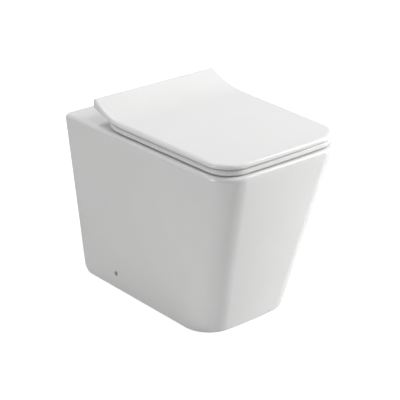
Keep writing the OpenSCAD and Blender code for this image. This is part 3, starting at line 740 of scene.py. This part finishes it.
def new_material(name):
    """A node material, with its node tree and its shader."""
    material = bpy.data.materials.new(name)
    material.use_nodes = True
    tree = material.node_tree
    return material, tree, tree.nodes["Principled BSDF"]


def add(tree, kind, **settings):
    """A new node; a setting is one of its input sockets or else one of its properties."""
    node = tree.nodes.new(kind)
    for key, value in settings.items():
        if key in node.inputs:
            node.inputs[key].default_value = value
        else:
            setattr(node, key, value)
    return node


def noise(tree, scale, detail=4.0, stretch=None):
    """Noise in the object's own coordinates, with scale in blobs per metre."""
    place = add(tree, "ShaderNodeTexCoord").outputs["Object"]
    if stretch is not None:
        mapping = add(tree, "ShaderNodeMapping", Scale=stretch)
        tree.links.new(place, mapping.inputs["Vector"])
        place = mapping.outputs["Vector"]
    texture = add(tree, "ShaderNodeTexNoise", Scale=scale, Detail=detail)
    tree.links.new(place, texture.inputs["Vector"])
    return texture.outputs["Fac"]


def ramp(tree, source, low, high, start=0.3, end=0.7):
    """Turns a value that runs from start to end into a value or a colour between low and high."""
    if isinstance(low, tuple):
        node = add(tree, "ShaderNodeValToRGB")
        first, last = node.color_ramp.elements
        first.position, last.position = start, end
        first.color, last.color = (*low, 1), (*high, 1)
        tree.links.new(source, node.inputs["Fac"])
        return node.outputs["Color"]
    node = add(tree, "ShaderNodeMapRange")
    for key, value in (("From Min", start), ("From Max", end), ("To Min", low), ("To Max", high)):
        node.inputs[key].default_value = value
    tree.links.new(source, node.inputs["Value"])
    return node.outputs["Result"]


def vary(tree, shader, socket, source, low, high):
    """Lets a noise move one of the shader's sockets between two values or two colours."""
    tree.links.new(ramp(tree, source, low, high), shader.inputs[socket])


def bump(tree, shader, source, strength, distance, after=None):
    """A bump of the shader's surface, added to an earlier bump if one is given."""
    node = add(tree, "ShaderNodeBump", Strength=strength, Distance=distance)
    tree.links.new(source, node.inputs["Height"])
    if after is not None:
        tree.links.new(after.outputs["Normal"], node.inputs["Normal"])
    tree.links.new(node.outputs["Normal"], shader.inputs["Normal"])
    return node


def glaze():
    """White glaze: faintly uneven in colour, a hand-smoothed waviness and fine orange peel."""
    material, tree, shader = new_material("white_glaze")
    vary(tree, shader, "Base Color", noise(tree, 9), (0.85, 0.85, 0.843), (0.87, 0.87, 0.865))
    vary(tree, shader, "Roughness", noise(tree, 40, 6), 0.07, 0.12)
    waves = bump(tree, shader, noise(tree, 12, 2), 0.3, 0.0006)
    bump(tree, shader, noise(tree, 420, 2), 0.05, 0.0002, waves)
    shader.inputs["IOR"].default_value = 1.52
    return material


def thin_glaze():
    """The inside and the back, where the glaze is thin and its surface a little dull."""
    material, tree, shader = new_material("thin_glaze")
    vary(tree, shader, "Base Color", noise(tree, 14, 5), (0.77, 0.765, 0.74), (0.83, 0.825, 0.81))
    vary(tree, shader, "Roughness", noise(tree, 30, 6), 0.25, 0.45)
    waves = bump(tree, shader, noise(tree, 30, 3), 0.4, 0.001)
    bump(tree, shader, noise(tree, 700, 3), 0.12, 0.0003, waves)
    return material


def moulded():
    """Polished white thermoset, with a trace of sink and fine handling marks in its gloss."""
    material, tree, shader = new_material("white_moulding")
    vary(tree, shader, "Base Color", noise(tree, 7), (0.85, 0.85, 0.845), (0.87, 0.87, 0.866))
    vary(tree, shader, "Roughness", noise(tree, 90, 8), 0.10, 0.17)
    waves = bump(tree, shader, noise(tree, 8, 2), 0.2, 0.0005)
    bump(tree, shader, noise(tree, 900, 2), 0.04, 0.0001, waves)
    shader.inputs["IOR"].default_value = 1.5
    return material


def metal(name, colour, low, high, grain, stretch=(1, 1, 1)):
    """Bare or plated metal, its roughness between low and high, with a grain that may be drawn out."""
    material, tree, shader = new_material(name)
    texture = noise(tree, grain, 6.0, stretch)
    darker = tuple(c * 0.92 for c in colour)
    vary(tree, shader, "Base Color", texture, darker, colour)
    vary(tree, shader, "Roughness", texture, low, high)
    bump(tree, shader, texture, 0.08, 0.0002)
    shader.inputs["Metallic"].default_value = 1.0
    return material


def soft(name, dark, light, rough, grain, strength=0.3):
    """Rubber or nylon: dull, mottled and finely grained."""
    material, tree, shader = new_material(name)
    vary(tree, shader, "Base Color", noise(tree, grain / 8), dark, light)
    vary(tree, shader, "Roughness", noise(tree, grain / 3), rough, rough + 0.12)
    bump(tree, shader, noise(tree, grain, 3), strength, 0.0002)
    return material


# Finishing of pieces

def dress(obj, material):
    """Gives an object one material all over."""
    obj.data.materials.clear()
    obj.data.materials.append(material)


def finish_shell(obj, body, node, sharp=38):
    """Smooths a built shell and lets it stand for its CAD node."""
    mesh = obj.data
    mesh.shade_smooth()
    mesh.set_sharp_from_angle(angle=math.radians(sharp))
    weights = obj.modifiers.new("weights", "WEIGHTED_NORMAL")
    weights.keep_sharp = True
    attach(obj, body)
    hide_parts(node)


def round_edges(obj, width=0.4):
    """Merges a CAD node's facets and rounds its edges with modifiers; its own points stay."""
    weld = obj.modifiers.new("weld", "WELD")
    weld.merge_threshold = 1e-6
    flat = obj.modifiers.new("flat", "DECIMATE")
    flat.decimate_type = "DISSOLVE"
    flat.angle_limit = math.radians(0.5)
    edges = obj.modifiers.new("edges", "BEVEL")
    edges.width = width * MM
    edges.segments = 2
    edges.limit_method = "ANGLE"
    edges.angle_limit = math.radians(32)
    obj.modifiers.new("weights", "WEIGHTED_NORMAL")


# Stage, camera and light

def direction(azimuth, elevation):
    """A unit vector away from the pan; azimuth 0 is in front of it and 90 degrees is on its right."""
    level = math.cos(elevation)
    return Vector((math.sin(azimuth) * level, -math.cos(azimuth) * level, math.sin(elevation)))


def make_camera():
    """The camera, placed where the photograph was taken from."""
    data = bpy.data.cameras.new("camera")
    data.sensor_width = CAM_SENSOR
    data.lens = CAM_LENS
    camera = bpy.data.objects.new("camera", data)
    bpy.context.scene.collection.objects.link(camera)
    back = direction(CAM_AZIMUTH, CAM_ELEVATION)
    camera.location = CAM_TARGET + back * CAM_DISTANCE
    camera.rotation_mode = "QUATERNION"
    camera.rotation_quaternion = (-back).to_track_quat("-Z", "Y")
    bpy.context.scene.camera = camera


def area_light(name, azimuth, elevation, size, power):
    """A soft box aimed at the pan, from an azimuth and an elevation in degrees."""
    back = direction(math.radians(azimuth), math.radians(elevation))
    data = bpy.data.lights.new(name, "AREA")
    data.shape = "RECTANGLE"
    data.size, data.size_y = size
    data.energy = power
    light = bpy.data.objects.new(name, data)
    bpy.context.scene.collection.objects.link(light)
    light.location = LAMP_AIM + back * LAMP_DISTANCE
    light.rotation_mode = "QUATERNION"
    light.rotation_quaternion = back.to_track_quat("Z", "Y")
    light.visible_camera = False


def shown_background(tree, mirrored=1.0):
    """1 for what the camera sees, mirrored for gloss and glass, and 0 for what lights the object."""
    path = add(tree, "ShaderNodeLightPath")
    seen = path.outputs["Is Camera Ray"]
    for other in ("Is Glossy Ray", "Is Transmission Ray"):
        share = add(tree, "ShaderNodeMath", operation="MULTIPLY")
        share.inputs[1].default_value = mirrored
        tree.links.new(path.outputs[other], share.inputs[0])
        either = add(tree, "ShaderNodeMath", operation="MAXIMUM")
        tree.links.new(seen, either.inputs[0])
        tree.links.new(share.outputs["Value"], either.inputs[1])
        seen = either.outputs["Value"]
    return seen


def make_world():
    """A white background that adds only a faint fill light."""
    world = bpy.data.worlds.new("studio")
    bpy.context.scene.world = world
    world.use_nodes = True
    tree = world.node_tree
    background = tree.nodes["Background"]
    background.inputs["Color"].default_value = (1, 1, 1, 1)
    strength = ramp(tree, shown_background(tree), WORLD_FILL, 1.0, 0.0, 1.0)
    tree.links.new(strength, background.inputs["Strength"])


def make_floor():
    """A plain pale floor, whose glow rises to the background's white with distance."""
    half = FLOOR_SIZE / 2
    corners = [(x, y, FLOOR_Z) for x, y in ((-half, -half), (half, -half), (half, half), (-half, half))]
    floor = mesh_object("floor", corners, [(0, 1, 2, 3)])
    material, tree, shader = new_material("floor")
    shader.inputs["Base Color"].default_value = (0.8, 0.8, 0.8, 1)
    shader.inputs["Roughness"].default_value = 0.9
    shader.inputs["Specular IOR Level"].default_value = 0.1
    shader.inputs["Emission Color"].default_value = (1, 1, 1, 1)
    place = add(tree, "ShaderNodeTexCoord")
    distance = add(tree, "ShaderNodeVectorMath", operation="LENGTH")
    tree.links.new(place.outputs["Object"], distance.inputs[0])
    glow = ramp(tree, distance.outputs["Value"], FLOOR_GLOW, 1.0, FLOOR_GLOW_START, FLOOR_GLOW_END)
    shown = add(tree, "ShaderNodeMath", operation="MULTIPLY")
    tree.links.new(glow, shown.inputs[0])
    tree.links.new(shown_background(tree, FLOOR_MIRRORED), shown.inputs[1])
    tree.links.new(shown.outputs["Value"], shader.inputs["Emission Strength"])
    dress(floor, material)


# The model

white_glaze, dull_glaze, white_moulding = glaze(), thin_glaze(), moulded()
chrome = metal("polished_chrome", (0.80, 0.81, 0.82), 0.05, 0.12, 60)
steel = metal("turned_steel", (0.55, 0.56, 0.57), 0.22, 0.38, 400, (1, 1, 8))
black_rubber = soft("black_rubber", (0.018, 0.018, 0.019), (0.04, 0.04, 0.042), 0.55, 1200)
pale_rubber = soft("pale_rubber", (0.46, 0.46, 0.45), (0.56, 0.56, 0.55), 0.35, 900, 0.15)
nylon = soft("natural_nylon", (0.62, 0.62, 0.59), (0.70, 0.70, 0.67), 0.38, 700, 0.2)

lid, seat = build_lid(), build_seat()
dress(lid, white_moulding)
dress(seat, white_moulding)
finish_shell(build_pan(), "pan", "pan")
finish_shell(lid, "lid", "lid")
finish_shell(seat, "seat", "seat")

seal = flush_seal()
dress(seal, black_rubber)
finish_shell(seal, "pan", "inlet_seal")
for side, word in ((-1, "left"), (1, "right")):
    bolt = deck_bolt(side)
    bolt.name = "threaded_bolt_" + word
    dress(bolt, steel)
    finish_shell(bolt, "pan", "deck_bolt_" + word, 50)
    post = hinge_post(side)
    post.name = "cast_post_" + word
    dress(post, chrome)
    finish_shell(post, "pan", "hinge_post_" + word, 30)

# The CAD nodes that are shown as they are, by the start of their names
FINISHES = {
    "deck_sleeve": black_rubber, "seat_buffers": pale_rubber, "lid_buffers": pale_rubber,
    "hinge_base": chrome, "hinge_pin": steel, "deck_nut": steel, "side_screw": steel,
    "seat_damper": nylon, "seat_bush": nylon, "lid_damper": nylon, "lid_bush": nylon,
    "floor_bracket": nylon, "side_sleeve": nylon,
}
for name, node in nodes.items():
    for start, material in FINISHES.items():
        if name.startswith(start):
            dress(node, material)
            round_edges(node)

make_camera()
make_world()
make_floor()
for lamp in LAMPS:
    area_light(*lamp)

scene = bpy.context.scene
scene.view_settings.view_transform = "Standard"
